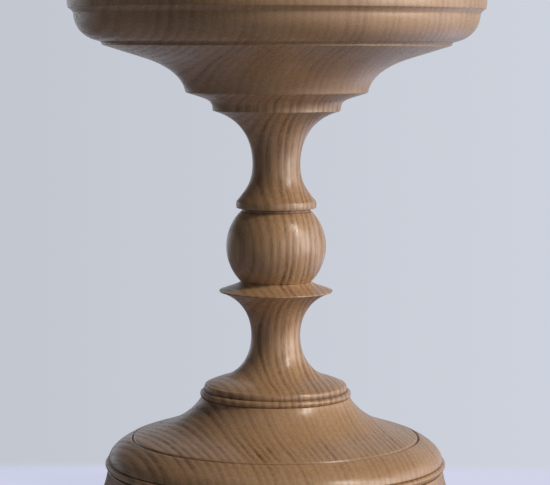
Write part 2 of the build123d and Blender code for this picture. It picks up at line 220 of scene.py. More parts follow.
def oiledAsh(s):             # ring-porous ash, turned, sanded and oiled: dark pore lines, satin sheen
    material, tree, shader = newMaterial(s["name"])
    seed, upright, turn = s["seed"], s["fibre"] == "Z", radians(s["angle"])
    coords = addNode(tree, "TexCoord").outputs["Object"]
    grain = addNode(tree, "Mapping", {"vector_type": "POINT", "Rotation": (0, 0, -turn)},
                    {"Vector": coords}).outputs[0]
    axes = addNode(tree, "SeparateXYZ", None, {0: grain}).outputs

    def sized(*sizes):                   # pattern sizes in mm: across the rings, along them, upright
        return addNode(tree, "VectorMath", {"operation": "DIVIDE", 1: [size * mm for size in sizes]},
                       {0: grain}).outputs[0]

    def fibrous(across, along):          # long way with the fibres
        return sized(across, across, along) if upright else sized(across, along, across)

    side = axes[1] if upright else axes[2]
    middle = 0 if upright else seed * mm
    offset = addNode(tree, "Math", {"operation": "SUBTRACT", 1: middle}, {0: side}).outputs[0]
    squared = addNode(tree, "Math", {"operation": "MULTIPLY"}, {0: offset, 1: offset}).outputs[0]
    bent = addNode(tree, "Math", {"operation": "MULTIPLY_ADD", 1: 0.5 / (ash["ringCurve"] * mm)},
                   {0: squared, 2: axes[0]}).outputs[0]
    wander = addNode(tree, "TexNoise", {**solid, "Detail": 2, "W": seed},
                     {"Vector": sized(*ash["wander"])}).outputs[0]
    wandered = addNode(tree, "Math", {"operation": "MULTIPLY_ADD", 1: s["crowd"], 2: seed},
                       {0: wander}).outputs[0]
    rings = addNode(tree, "Math", {"operation": "MULTIPLY_ADD", 1: 1 / (s["ring"] * mm)},
                    {0: bent, 2: wandered}).outputs[0]
    year = addNode(tree, "Math", {"operation": "FLOOR"}, {0: rings}).outputs[0]
    phase = addNode(tree, "Math", {"operation": "FRACT"}, {0: rings}).outputs[0]
    luck = addNode(tree, "TexWhiteNoise", {"noise_dimensions": "1D"}, {"W": year}).outputs["Value"]
    springEnd = addNode(tree, "MapRange", {"To Min": 0.42, "To Max": 0.82}, {"Value": luck}).outputs[0]
    spring = addNode(tree, "MapRange", {**smooth, "From Min": 0.18, "To Min": 1, "To Max": 0},
                     {"Value": phase, "From Max": springEnd}).outputs[0]
    autumn = addNode(tree, "MapRange", {**smooth, "From Min": 0.76, "From Max": 1.0},
                     {"Value": phase}).outputs[0]
    early = addNode(tree, "Math", {"operation": "MAXIMUM"}, {0: spring, 1: autumn}).outputs[0]

    fibres = addNode(tree, "TexNoise", {**solid, "Detail": 3, "Roughness": 0.6, "W": seed},
                     {"Vector": fibrous(ash["fibreAcross"], ash["fibreAlong"])}).outputs[0]
    poreField = addNode(tree, "TexNoise", {**solid, "Detail": 1, "W": seed + 3},
                        {"Vector": fibrous(ash["poreAcross"], ash["poreAlong"])}).outputs[0]
    openPores = addNode(tree, "MapRange", {**smooth, "From Min": 0.50, "From Max": 0.64},
                        {"Value": poreField}).outputs[0]
    whereOpen = addNode(tree, "MapRange", {"To Min": 0.14, "To Max": 1.0}, {"Value": early}).outputs[0]
    pores = addNode(tree, "Math", {"operation": "MULTIPLY"}, {0: openPores, 1: whereOpen}).outputs[0]
    cloud = addNode(tree, "TexNoise", {**solid, "Scale": 1 / (ash["cloud"] * mm), "Detail": 2, "W": seed},
                    {"Vector": grain}).outputs[0]

    breaks = addNode(tree, "TexNoise", {**solid, "Detail": 2, "W": seed + 7},
                     {"Vector": sized(*ash["break"])}).outputs[0]
    gaps = addNode(tree, "MapRange", {"From Min": 0.32, "From Max": 0.66, "To Min": 0.4, "To Max": 1.0},
                   {"Value": breaks}).outputs[0]
    dashes = addNode(tree, "TexNoise", {**solid, "Detail": 1, "W": seed + 9},
                     {"Vector": fibrous(ash["dashAcross"], ash["dashAlong"])}).outputs[0]
    dashed = addNode(tree, "MapRange", {"From Min": 0.3, "From Max": 0.6, "To Min": 0.5, "To Max": 1.0},
                     {"Value": dashes}).outputs[0]
    depth = addNode(tree, "MapRange", {"To Min": 0.35 * s["dark"], "To Max": s["dark"]},
                    {"Value": luck}).outputs[0]
    facing = addNode(tree, "NewGeometry").outputs["Normal"]
    fibreAxis = (0, 0, 1) if upright else (-sin(turn), cos(turn), 0)
    along = addNode(tree, "VectorMath", {"operation": "DOT_PRODUCT", 1: fibreAxis},
                    {0: facing}).outputs["Value"]
    ends = addNode(tree, "Math", {"operation": "ABSOLUTE"}, {0: along}).outputs[0]
    plain = addNode(tree, "MapRange", {**smooth, "From Min": 0.1, "From Max": 0.5, "To Min": 1.0,
                                       "To Max": s["endGrain"]}, {"Value": ends}).outputs[0]
    shown = addNode(tree, "Math", {"operation": "MULTIPLY"}, {0: depth, 1: plain}).outputs[0]
    broken = addNode(tree, "Math", {"operation": "MULTIPLY"}, {0: shown, 1: gaps}).outputs[0]
    ragged = addNode(tree, "Math", {"operation": "MULTIPLY"}, {0: broken, 1: dashed}).outputs[0]
    tone = addNode(tree, "Math", {"operation": "MULTIPLY"}, {0: early, 1: ragged}).outputs[0]
    clouds = addNode(tree, "MapRange", {"From Min": 0.35, "From Max": 0.7, "To Max": ash["warmShare"]},
                     {"Value": cloud}).outputs[0]
    ground = addNode(tree, "Mix", {"data_type": "RGBA", 6: linear(ash["late"]), 7: linear(ash["warm"])},
                     {0: clouds}).outputs[2]
    ringed = addNode(tree, "Mix", {"data_type": "RGBA", 7: linear(ash["early"])},
                     {0: tone, 6: ground}).outputs[2]
    # the streaks carry each copy's painted brightness
    streak = addNode(tree, "MapRange", {"From Min": 0.3, "From Max": 0.7, "To Min": 0.84 * s["light"],
                                        "To Max": 1.12 * s["light"]}, {"Value": fibres}).outputs[0]
    streaked = addNode(tree, "VectorMath", {"operation": "SCALE"}, {0: ringed, "Scale": streak}).outputs[0]
    poreDepth = addNode(tree, "Math", {"operation": "MULTIPLY", 1: s["pores"]}, {0: pores}).outputs[0]
    pored = addNode(tree, "Mix", {"data_type": "RGBA", 7: linear(ash["pore"])},
                    {0: poreDepth, 6: streaked}).outputs[2]
    wear = addNode(tree, "Attribute", {"attribute_name": "wear"}).outputs["Fac"]
    rubbed = addNode(tree, "Math", {"operation": "MULTIPLY"}, {0: wear, 1: gaps}).outputs[0]
    handled = addNode(tree, "Math", {"operation": "MULTIPLY", 1: ash["wornShare"]}, {0: rubbed}).outputs[0]
    paled = addNode(tree, "Mix", {"data_type": "RGBA", 7: linear(ash["worn"])},
                    {0: handled, 6: pored}).outputs[2]
    # painted shade: sunk corners are darkened towards a near-black brown and lose most of their specular
    cornerShade = addNode(tree, "Attribute", {"attribute_name": "cornerShade"}).outputs["Fac"]
    cornerShaded = addNode(tree, "Math", {"operation": "MULTIPLY", 1: ash["cornerShadeShare"]}, {0: cornerShade}).outputs[0]
    colour = addNode(tree, "Mix", {"data_type": "RGBA", 7: linear(ash["cornerShade"])},
                     {0: cornerShaded, 6: paled}).outputs[2]
    specularDimmedInCorners = addNode(tree, "MapRange", {"To Min": 0.5, "To Max": 0.1}, {"Value": cornerShade}).outputs[0]

    satin = addNode(tree, "MapRange", {"To Min": 0.26, "To Max": 0.48}, {"Value": pores}).outputs[0]
    roughness = addNode(tree, "Math", {"operation": "MULTIPLY_ADD", 1: -0.08}, {0: rubbed, 2: satin}).outputs[0]
    level = addNode(tree, "Math", {"operation": "MULTIPLY_ADD", 1: 0.25}, {0: early, 2: pores}).outputs[0]
    bump = addNode(tree, "Bump", {"invert": True, "Strength": s["pores"] * ash["bump"],
                                  "Distance": ash["relief"] * mm}, {"Height": level}).outputs[0]
    for socket, source in (("Base Color", colour), ("Roughness", roughness),
                           ("Specular IOR Level", specularDimmedInCorners), ("Normal", bump)):
        tree.links.new(source, shader.inputs[socket])
    shader.inputs["IOR"].default_value = ash["filmIor"]
    return material


brass = {
    "lineWidth": 0.35,       # turning lines, drawn a little coarse so that they show
    "stain": 14, "speck": 1.6,
    "bright": "#C19A55", "dull": "#8C6A38", "dark": "#5B4426",
}


def turnedBrass():           # turned brass left to dull: fine rings from the tool, brown bloom in patches
    material, tree, shader = newMaterial("turnedBrass")
    coords = addNode(tree, "TexCoord").outputs["Object"]
    flat = addNode(tree, "VectorMath", {"operation": "MULTIPLY", 1: (1, 1, 0)}, {0: coords}).outputs[0]
    radius = addNode(tree, "VectorMath", {"operation": "LENGTH"}, {0: flat}).outputs["Value"]
    height = addNode(tree, "SeparateXYZ", None, {0: coords}).outputs[2]
    lathe = addNode(tree, "CombineXYZ", None, {0: radius, 1: height}).outputs[0]
    lines = addNode(tree, "TexNoise", {"Scale": 1 / (brass["lineWidth"] * mm), "Detail": 3, "Roughness": 0.7},
                    {"Vector": lathe}).outputs[0]
    stain = addNode(tree, "TexNoise", {"Scale": 1 / (brass["stain"] * mm), "Detail": 5, "Roughness": 0.65},
                    {"Vector": coords}).outputs[0]
    speck = addNode(tree, "TexNoise", {"Scale": 1 / (brass["speck"] * mm), "Detail": 3},
                    {"Vector": coords}).outputs[0]
    bloom = addNode(tree, "MapRange", {**smooth, "From Min": 0.40, "From Max": 0.68},
                    {"Value": stain}).outputs[0]
    spots = addNode(tree, "MapRange", {**smooth, "From Min": 0.60, "From Max": 0.76, "To Max": 0.5},
                    {"Value": speck}).outputs[0]
    tinted = addNode(tree, "Mix", {"data_type": "RGBA", 6: linear(brass["bright"]), 7: linear(brass["dull"])},
                     {0: bloom}).outputs[2]
    spotted = addNode(tree, "Mix", {"data_type": "RGBA", 7: linear(brass["dark"])},
                      {0: spots, 6: tinted}).outputs[2]
    matt = addNode(tree, "MapRange", {"To Min": 0.24, "To Max": 0.42}, {"Value": bloom}).outputs[0]
    lined = addNode(tree, "Math", {"operation": "MULTIPLY_ADD", 1: 0.12}, {0: lines, 2: matt}).outputs[0]
    bump = addNode(tree, "Bump", {"Strength": 0.35, "Distance": 0.03 * mm}, {"Height": lines}).outputs[0]
    for socket, source in (("Base Color", spotted), ("Roughness", lined), ("Normal", bump)):
        tree.links.new(source, shader.inputs[socket])
    shader.inputs["Metallic"].default_value = 1
    return material


zinc = {"spangle": 1.2, "haze": 9, "bright": "#C3C7C9", "grey": "#8F9498", "straw": "#B9AF97"}


def zincedSteel():           # zinc-plated steel: pale, a little hazy, straw tint in patches
    material, tree, shader = newMaterial("zincedSteel")
    coords = addNode(tree, "TexCoord").outputs["Object"]
    spangle = addNode(tree, "TexVoronoi", {"Scale": 1 / (zinc["spangle"] * mm)},
                      {"Vector": coords}).outputs["Color"]
    tone = addNode(tree, "SeparateXYZ", None, {0: spangle}).outputs[0]
    haze = addNode(tree, "TexNoise", {"Scale": 1 / (zinc["haze"] * mm), "Detail": 4},
                   {"Vector": coords}).outputs[0]
    patches = addNode(tree, "MapRange", {"From Min": 0.45, "From Max": 0.75, "To Max": 0.6},
                      {"Value": haze}).outputs[0]
    grains = addNode(tree, "Mix", {"data_type": "RGBA", 6: linear(zinc["bright"]), 7: linear(zinc["grey"])},
                     {0: tone}).outputs[2]
    tinted = addNode(tree, "Mix", {"data_type": "RGBA", 7: linear(zinc["straw"])},
                     {0: patches, 6: grains}).outputs[2]
    rough = addNode(tree, "MapRange", {"To Min": 0.30, "To Max": 0.48}, {"Value": tone}).outputs[0]
    tree.links.new(tinted, shader.inputs["Base Color"])
    tree.links.new(rough, shader.inputs["Roughness"])
    shader.inputs["Metallic"].default_value = 1
    return material


felt = {
    "fibre": 0.5, "tuft": 3.5, "deep": "#35594A", "light": "#6B9079",
    "thickness": 2.0, "inner": 12.0, "outer": 67.7, "lip": 0.35, "clear": 0.05,
    "waves": ((4.0, 0.12), (1.4, 0.06)), "inset": 0.18, "edgeFrom": 60.0,    # uneven cut edge: lengths and depths
    "fluff": 2.0, "fluffDepth": 0.05, "underside": 0.2,
}


def woolFelt():              # pressed wool felt: matt, mottled, with a soft sheen of loose fibres
    material, tree, shader = newMaterial("woolFelt")
    coords = addNode(tree, "TexCoord").outputs["Object"]
    fibre = addNode(tree, "TexNoise", {"Scale": 1 / (felt["fibre"] * mm), "Detail": 5, "Roughness": 0.75,
                                       "Distortion": 1.5}, {"Vector": coords}).outputs[0]
    tuft = addNode(tree, "TexNoise", {"Scale": 1 / (felt["tuft"] * mm), "Detail": 3},
                   {"Vector": coords}).outputs[0]
    mixed = addNode(tree, "Math", {"operation": "MULTIPLY_ADD", 1: 0.6}, {0: tuft, 2: fibre}).outputs[0]
    tone = addNode(tree, "MapRange", {"From Min": 0.55, "From Max": 1.1}, {"Value": mixed}).outputs[0]
    colour = addNode(tree, "Mix", {"data_type": "RGBA", 6: linear(felt["deep"]), 7: linear(felt["light"])},
                     {0: tone}).outputs[2]
    bump = addNode(tree, "Bump", {"Strength": 0.9, "Distance": 0.25 * mm}, {"Height": mixed}).outputs[0]
    tree.links.new(colour, shader.inputs["Base Color"])
    tree.links.new(bump, shader.inputs["Normal"])
    shader.inputs["Roughness"].default_value = 0.95
    shader.inputs["Sheen Weight"].default_value = 0.4
    shader.inputs["Sheen Roughness"].default_value = 0.5
    return material


stemAsh, baseAsh, dishAsh = [oiledAsh(woods[key]) for key in ("stem", "base", "dish")]
brassFinish, steelFinish, feltFinish = turnedBrass(), zincedSteel(), woolFelt()
print("materials made")


# turned base

base = {
    "counterbore": 11.0, "counterboreDepth": 14.0, "bore": 3.3,
    "foot": 73.2, "footRound": 1.8, "footBand": 1.7,
    "plinth": 16.4, "plinthOut": 0.2, "bead": 3.1, "beadSeat": 69.05, "beadRadius": 70.2, "quirk": 0.4,
    "shoulder": 9.2, "grooveOuter": 59.7, "grooveWidth": 1.4, "grooveDepth": 1.2, "domeStep": 0.5,
    "dome": 4.4, "domeInner": 46.25, "cove": 12.35, "top": 30.6,
    "mortise": 14.825, "mortiseDepth": 15.5,
}


def makeBase():
    s, z = base, heightOf("turned_base", 0)
    plinthTop = z + s["plinth"]
    beadTop = plinthTop + s["bead"]
    shoulderFoot = beadTop + s["quirk"]
    groove = shoulderFoot + s["shoulder"]
    domeEdge = groove + s["domeStep"]
    domeTop = groove + s["dome"]
    top = domeTop + s["cove"]
    inset = s["footRound"] * (1 - cos(pi / 4))
    points = traced((s["counterbore"], z), [
        ("line", s["foot"] - s["footRound"], z),
        ("arc", (s["foot"] - inset, z + inset), s["foot"], z + s["footRound"]),
        ("line", s["foot"], z + s["footRound"] + s["footBand"]),
        ("curve", s["beadSeat"] + s["plinthOut"], plinthTop - s["quirk"], ((0.45, 0.25), (0.85, 0.62))),
        ("line", s["beadSeat"] - 2 * s["quirk"], plinthTop),
        ("arc", (s["beadRadius"], (plinthTop + beadTop) / 2), s["beadSeat"], beadTop),
        ("line", s["beadSeat"] - s["quirk"], (beadTop + shoulderFoot) / 2),
        ("line", s["beadSeat"], shoulderFoot),
        ("curve", s["grooveOuter"], groove, ((0.03, 0.43), (0.47, 0.73))),
        ("line", s["grooveOuter"] - s["grooveWidth"] / 2, domeEdge - s["grooveDepth"]),
        ("line", s["grooveOuter"] - s["grooveWidth"], domeEdge),
        ("curve", s["domeInner"], domeTop, ((0.31, 0.33), (0.68, 0.65))),
        ("curve", s["top"], top, ((0.43, 0.19), (0.84, 0.57))),
        ("line", s["mortise"], top),
        ("hidden", s["mortise"], top - s["mortiseDepth"]),
        ("hidden", s["bore"], top - s["mortiseDepth"]),
        ("hidden", s["bore"], z + s["counterboreDepth"]),
        ("line", s["counterbore"], z + s["counterboreDepth"]),
        ("line", s["counterbore"], z),
    ])
    return finished("ashBase", turned(points), baseAsh, "turned_base")


# lower stem

lower = {
    "bore": 3.3, "tenon": 14.725, "tenonLength": 15.0,
    "beadSeat": 29.85, "beadRadius": 31.15, "bead": 2.65, "bandRadius": 29.45, "band": 1.3,
    "arris": 1.5, "arrisRun": 1.2, "sweep": 2.7, "sweepRun": 7.3,
    "waist": 10.1, "coveShare": 0.4878, "lipRadius": 23.3, "lipRound": 0.45, "lipEdge": 0.75, "lipDome": 3.6,
    "flat": 14.479, "upperTenon": 9.279, "upperLength": 8.665,
}


def makeLowerStem():
    s, seat, top = lower, heightOf("turned_base", 1), heightOf("ball_knop", 0)
    beadTop = seat + s["bead"]
    bandTop = beadTop + s["band"]
    arrisTop = bandTop + s["arris"]
    sweepTop = arrisTop + s["sweep"]
    lipTop = top - s["lipDome"]
    lipFoot = lipTop - s["lipEdge"]
    waist = sweepTop + (lipFoot - sweepTop) * s["coveShare"]
    edge, quarter = s["bandRadius"] - s["arrisRun"], cos(pi / 4)
    points = traced((s["bore"], seat - s["tenonLength"]), [
        ("hidden", s["tenon"], seat - s["tenonLength"]),
        ("hidden", s["tenon"], seat),
        ("line", s["beadSeat"], seat),
        ("arc", (s["beadRadius"], (seat + beadTop) / 2), s["beadSeat"], beadTop),
        ("line", s["bandRadius"], beadTop),
        ("line", s["bandRadius"], bandTop),
        ("arc", (s["bandRadius"] - s["arrisRun"] * (1 - quarter), bandTop + s["arris"] * quarter),
         edge, arrisTop),
        ("curve", edge - s["sweepRun"], sweepTop, ((0.16, 0.30), (0.61, 0.68))),
        ("curve", s["waist"], waist, ((0.43, 0.09), (1.0, 0.39))),
        ("curve", s["lipRadius"] - s["lipRound"], lipFoot, ((0.0, 0.46), (0.32, 0.84))),
        ("arc", (s["lipRadius"], (lipFoot + lipTop) / 2), s["lipRadius"] - s["lipRound"], lipTop),
        ("curve", s["flat"], top, ((0.32, 0.32), (0.80, 0.56))),
        ("line", s["upperTenon"], top),
        ("hidden", s["upperTenon"], top + s["upperLength"]),
        ("hidden", s["bore"], top + s["upperLength"]),
        ("hidden", s["bore"], seat - s["tenonLength"]),
    ])
    return finished("ashLowerStem", turned(points), stemAsh, "lower_stem")


# ball knop

ball = {"bore": 3.3, "flat": 14.479, "radius": 20.45, "mortise": 9.379, "mortiseDepth": 9.165}


def makeBall():
    s, z, top = ball, heightOf("ball_knop", 0), heightOf("ball_knop", 1)
    points = traced((s["mortise"], z), [
        ("line", s["flat"], z),
        ("arc", (s["radius"], (z + top) / 2), s["flat"], top),
        ("line", s["mortise"], top),
        ("hidden", s["mortise"], top - s["mortiseDepth"]),
        ("hidden", s["bore"], top - s["mortiseDepth"]),
        ("hidden", s["bore"], z + s["mortiseDepth"]),
        ("hidden", s["mortise"], z + s["mortiseDepth"]),
        ("hidden", s["mortise"], z),
    ])
    return finished("ashBall", turned(points), stemAsh, "ball_knop")


# upper stem

upper = {
    "bore": 3.3, "tenon": 9.279, "tenonLength": 8.665,
    "neck": 14.179, "neckHeight": 1.35, "collar": 2.8, "collarEdge": 16.279, "collarRadius": 16.479,
    "waist": 9.78, "flareShare": 0.4137, "trumpet": 25.55, "fillet": 0.6, "capital": 6.85,
    "capitalRadius": 37.3, "capitalArris": 0.65, "quirk": 0.4,
    "upperTenon": 14.92, "upperLength": 11.844,
}


def makeUpperStem():
    s, seat, top = upper, heightOf("ball_knop", 1), heightOf("drip_dish", 0)
    collarFoot = seat + s["neckHeight"]
    collarTop = collarFoot + s["collar"]
    capitalTop = top - s["quirk"]
    capitalFoot = capitalTop - s["capital"]
    trumpetTop = capitalFoot - s["fillet"]
    waist = collarTop + (trumpetTop - collarTop) * s["flareShare"]
    ledge = s["trumpet"] + s["fillet"]
    points = traced((s["bore"], seat - s["tenonLength"]), [
        ("hidden", s["tenon"], seat - s["tenonLength"]),
        ("hidden", s["tenon"], seat),
        ("line", s["neck"], seat),
        ("line", s["neck"], collarFoot),
        ("line", s["collarEdge"], collarFoot),
        ("arc", (s["collarRadius"], (collarFoot + collarTop) / 2), s["collarEdge"], collarTop),
        ("curve", s["waist"], waist, ((0.61, 0.31), (1.0, 0.53))),
        ("curve", s["trumpet"], trumpetTop, ((0.0, 0.46), (0.30, 0.86))),
        ("line", ledge, (trumpetTop + capitalFoot) / 2),
        ("line", ledge, capitalFoot),
        ("curve", s["capitalRadius"] - s["capitalArris"], capitalTop, ((0.02, 0.59), (0.15, 0.60))),
        ("line", s["capitalRadius"], top),
        ("line", s["upperTenon"], top),
        ("hidden", s["upperTenon"], top + s["upperLength"]),
        ("hidden", s["bore"], top + s["upperLength"]),
        ("hidden", s["bore"], seat - s["tenonLength"]),
    ])
    return finished("ashUpperStem", turned(points), stemAsh, "upper_stem")


# drip dish

dish = {
    "joint": 37.3, "mortise": 15.02, "mortiseDepth": 12.344, "bore": 3.3,
    "coveTop": 54.63, "cove": 13.9, "coneEdge": 71.15, "cone": 5.1, "step": 0.6, "stepHeight": 1.35,
    "ovoloTop": 82.5, "ovolo": 11.4, "fillet": 2.05, "filletShare": 0.58,
    "rim": 85.0, "rimCrown": 0.35, "rimBand": 5.25, "rimRise": 1.1, "rimWidth": 4.2,
    "bowlDepth": 12.0, "floor": 58.0, "recess": 11.006, "recessDepth": 7.0,
}


def makeDish():
    s, z = dish, heightOf("drip_dish", 0)
    coveTop = z + s["cove"]
    coneTop = coveTop + s["cone"]
    ovoloFoot = coneTop + s["stepHeight"]
    ovoloTop = ovoloFoot + s["ovolo"]
    rimFoot = ovoloTop + s["fillet"]
    shoulder = rimFoot + s["rimBand"]
    rimTop = shoulder + s["rimRise"]
    floor = rimTop - s["bowlDepth"]
    rimEdge = s["rim"] - s["rimCrown"]
    hollow = (rimEdge - (rimEdge - s["ovoloTop"]) * s["filletShare"], ovoloTop + s["fillet"] * s["filletShare"])
    inner = rimEdge - s["rimWidth"]
    points = traced((s["mortise"], z), [
        ("line", s["joint"], z),
        ("curve", s["coveTop"], coveTop, ((0.05, 0.41), (0.39, 0.77))),
        ("line", s["coneEdge"], coneTop),
        ("line", s["coneEdge"], (coneTop + ovoloFoot) / 2),
        ("line", s["coneEdge"] + s["step"], ovoloFoot),
        ("curve", s["ovoloTop"], ovoloTop, ((0.71, 0.12), (0.98, 0.57))),
        ("arc", hollow, rimEdge, rimFoot),
        ("arc", (s["rim"], (rimFoot + shoulder) / 2), rimEdge, shoulder),
        ("arc", ((rimEdge + inner) / 2, rimTop), inner, shoulder),
        ("curve", s["floor"], floor, ((0.14, 0.66), (0.47, 1.0))),
        ("line", s["recess"], floor),
        ("line", s["recess"], floor - s["recessDepth"]),
        ("line", s["bore"], floor - s["recessDepth"]),
        ("hidden", s["bore"], z + s["mortiseDepth"]),
        ("hidden", s["mortise"], z + s["mortiseDepth"]),
        ("hidden", s["mortise"], z),
    ])
    return finished("ashDish", turned(points), dishAsh, "drip_dish")


makeBase()
makeLowerStem()
makeBall()
makeUpperStem()
makeDish()


# brass spike, its washer and the wax plate

spike = {
    "acrossFlats": 13.0, "foot": 5.2, "chamferShare": 0.5, "bore": 3.05, "boreDepth": 6.53,
    "boss": 4.5, "shank": 3.0, "shoulder": 1.5, "shankLength": 18.0, "point": 20.0, "tip": 0.35,
}


def makeSpike():
    s, z, top = spike, heightOf("pricket_spike", 0), heightOf("pricket_spike", 1)
    corner = s["acrossFlats"] / 2 / cos(pi / 6)
    end = s["acrossFlats"] / 2 + (corner - s["acrossFlats"] / 2) * s["chamferShare"]
    footTop = z + s["foot"]
    shankTop = top - s["point"]
    shankFoot = shankTop - s["shankLength"]
    bossTop = shankFoot - s["shoulder"]
    round45 = cos(pi / 4)
    points = traced((0, z + s["boreDepth"]), [
        ("hidden", s["bore"], z + s["boreDepth"]),
        ("hidden", s["bore"], z),
        ("line", end, z),
        ("line", corner, z + corner - end),
        ("line", corner, footTop - corner + end),
        ("line", end, footTop),
        ("line", s["boss"], footTop),
        ("line", s["boss"], bossTop),
        ("line", s["shank"], shankFoot),
        ("line", s["shank"], shankTop),
        ("line", s["tip"], top - s["tip"]),
        ("arc", (s["tip"] * round45, top - s["tip"] * (1 - round45)), 0, top),
    ])
    return finished("brassSpike", milled(turned(points, 0.2, 96, closed=False), s["acrossFlats"]),
                    brassFinish, "pricket_spike", crease=0.5)


seat = {"hole": 3.2, "outer": 9.006}


def makeSeatWasher():
    low, high = heightOf("seat_washer", 0), heightOf("seat_washer", 1)
    points = traced((seat["hole"], low), [
        ("line", seat["outer"], low), ("line", seat["outer"], high),
        ("line", seat["hole"], high), ("line", seat["hole"], low),
    ])
    return finished("brassSeatWasher", turned(points, 0.2, 96), brassFinish, "seat_washer")


plate = {"hole": 4.8, "radius": 46.0, "bead": 0.9, "thickness": 1.0, "wallRun": 5.0, "wall": 3.2}


def makePlate():
    s, z = plate, heightOf("wax_plate", 0)
    wall = s["radius"] - s["bead"]
    foot = wall - s["wallRun"]
    floor = z + s["thickness"]
    wallTop = floor + s["wall"]
    beadFoot = wallTop - s["thickness"]
    points = traced((s["hole"], z), [
        ("line", foot, z),
        ("curve", wall, beadFoot, ((0.55, 0.0), (0.85, 0.35))),
        ("arc", (s["radius"], beadFoot + s["bead"]), wall, beadFoot + 2 * s["bead"]),
        ("line", wall - s["thickness"], wallTop),
        ("curve", foot, floor, ((0.15, 0.65), (0.45, 1.0))),
        ("line", s["hole"], floor),
        ("line", s["hole"], z),
    ])
    return finished("brassWaxPlate", turned(points, 0.2), brassFinish, "wax_plate", "plate")


makeSpike()
makeSeatWasher()
makePlate()


# tie rod, nut and washers under the base

rod = {"radius": 3.0, "pitch": 1.0, "threadDepth": 0.6, "threaded": 18.0, "runout": 2.0,
       "crest": (0.44, 0.56), "turnSteps": 32, "shankSides": 48}


def makeRod():
    s, low, high = rod, heightOf("tie_rod", 0), heightOf("tie_rod", 1)
    core, turns = s["radius"] - s["threadDepth"], int(s["threaded"] / s["pitch"])
    start, stop = s["crest"]
    shankFoot = low + s["threaded"] - s["runout"]
    bm = bmesh.new()
    tooth = [bm.verts.new(Vector((r, 0, low + h * s["pitch"] - s["pitch"])) * mm)
             for r, h in ((core, 0), (s["radius"], start), (s["radius"], stop), (core, 1))]
    for a, b in zip(tooth, tooth[1:]):
        bm.edges.new((a, b))
    steps = (turns + 1) * s["turnSteps"]
    bmesh.ops.spin(bm, geom=bm.verts[:] + bm.edges[:], axis=(0, 0, 1), cent=(0, 0, 0),
                   dvec=(0, 0, s["pitch"] / s["turnSteps"] * mm), angle=2 * pi * (turns + 1), steps=steps)
    bmesh.ops.remove_doubles(bm, verts=bm.verts, dist=1e-6)
    for height, facing in ((low, -1), (shankFoot, 1)):
        cut = bmesh.ops.bisect_plane(bm, geom=bm.verts[:] + bm.edges[:] + bm.faces[:], dist=1e-7,
                                     plane_co=(0, 0, height * mm), plane_no=(0, 0, facing), clear_outer=True)
        rim = [e for e in cut["geom_cut"] if isinstance(e, bmesh.types.BMEdge)]
        bmesh.ops.edgeloop_fill(bm, edges=rim)
    shank = bmesh.ops.create_cone(bm, cap_ends=True, segments=s["shankSides"], radius1=s["radius"] * mm,
                                  radius2=s["radius"] * mm, depth=(high - shankFoot) * mm)
    middle = (high + shankFoot) / 2
    bmesh.ops.translate(bm, verts=shank["verts"], vec=(0, 0, middle * mm))
    bmesh.ops.recalc_face_normals(bm, faces=bm.faces)
    return finished("steelTieRod", bm, steelFinish, "tie_rod", crease=0.4)


nut = {"acrossFlats": 10.0, "chamferShare": 0.5, "bore": 3.05, "lead": 0.45}     # lead: countersink at each end


def makeNut():
    s, low, high = nut, heightOf("foot_nut", 0), heightOf("foot_nut", 1)
    corner = s["acrossFlats"] / 2 / cos(pi / 6)
    end = s["acrossFlats"] / 2 + (corner - s["acrossFlats"] / 2) * s["chamferShare"]
    lead = s["lead"]
    points = traced((s["bore"], low + lead), [
        ("line", s["bore"] + lead, low),
        ("line", end, low),
        ("line", corner, low + corner - end),
        ("line", corner, high - corner + end),
        ("line", end, high),
        ("line", s["bore"] + lead, high),
        ("line", s["bore"], high - lead),
        ("line", s["bore"], low + lead),
    ])
    return finished("steelFootNut", milled(turned(points, 0.15, 96), s["acrossFlats"]), steelFinish,
                    "foot_nut", crease=0.5)


washers = {
    "foot": {"name": "steelFootWasher", "node": "foot_washer", "hole": 3.2, "outer": 9.0},
    "spring": {"name": "steelSpringWasher", "node": "spring_washer", "hole": 3.2, "outer": 5.9,
               "slit": 0.9, "slant": 20},
}


def makeWasher(s):
    low, high = heightOf(s["node"], 0), heightOf(s["node"], 1)
    points = traced((s["hole"], low), [
        ("line", s["outer"], low), ("line", s["outer"], high),
        ("line", s["hole"], high), ("line", s["hole"], low),
    ])
    bm = turned(points, 0.2, 96)
    if "slit" in s:          # slanted cut through one side, both faces of the gap closed
        middle, half = Vector((0, 0, (low + high) / 2 * mm)), s["slit"] / 2 * mm
        lean = Vector((0, cos(radians(s["slant"])), sin(radians(s["slant"]))))
        for way in (-1, 1):
            bmesh.ops.bisect_plane(bm, geom=bm.verts[:] + bm.edges[:] + bm.faces[:], dist=1e-7,
                                   plane_co=middle + lean * way * half, plane_no=lean)
        inGap = [f for f in bm.faces if f.calc_center_median().x > 0
                 and abs((f.calc_center_median() - middle).dot(lean)) < half]
        bmesh.ops.delete(bm, geom=inGap, context="FACES")
        bmesh.ops.holes_fill(bm, edges=[e for e in bm.edges if e.is_boundary], sides=0)
        bmesh.ops.recalc_face_normals(bm, faces=bm.faces)
    return finished(s["name"], bm, steelFinish, s["node"], crease=0.5)


makeRod()
makeNut()
makeWasher(washers["foot"])
makeWasher(washers["spring"])


# felt foot

